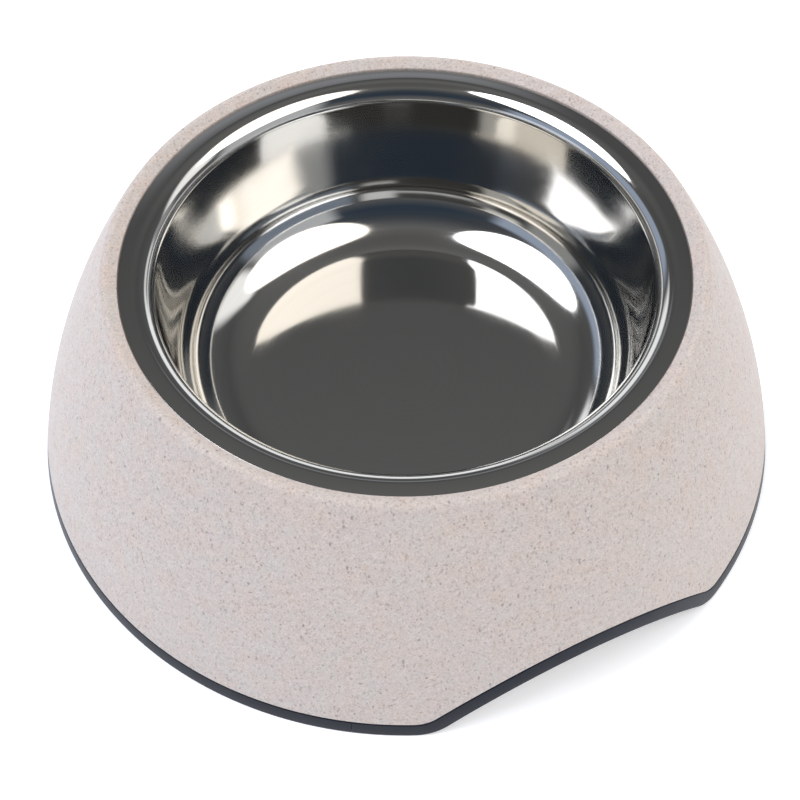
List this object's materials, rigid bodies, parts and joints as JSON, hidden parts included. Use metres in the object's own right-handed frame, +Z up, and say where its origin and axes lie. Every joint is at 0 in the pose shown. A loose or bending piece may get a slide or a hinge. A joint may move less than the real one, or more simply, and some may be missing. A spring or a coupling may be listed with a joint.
{
  "type": "dog food bowl",
  "caption": "Round dog bowl: a polished steel bowl hangs by its flat rim in a flared, speckled moulded shell with finger arches and a dark rubber base trim; the steel bowl lifts out.",
  "frame": {"origin": "centre of the base, on the floor", "axes": "+Z up along the bowl's axis, Y through the two finger arches (the one seen in the picture faces -Y), X across them"},
  "size_m": [0.1998, 0.1926, 0.064],
  "materials": {
    "shell": "satin-matt speckled plant-fibre composite",
    "steel": "mirror-polished stainless sheet",
    "trim": "matt dark blue-grey"
  },
  "bodies": {
    "shell": {"outer_shell": "shell", "base_trim": "trim"},
    "bowl": {"steel_bowl": "steel"}
  },
  "joints": [
    {"name": "bowl_lift", "type": "slide", "parent": "shell", "child": "bowl", "axis": [0, 0, 1], "range_m": [0, 0.07]}
  ]
}
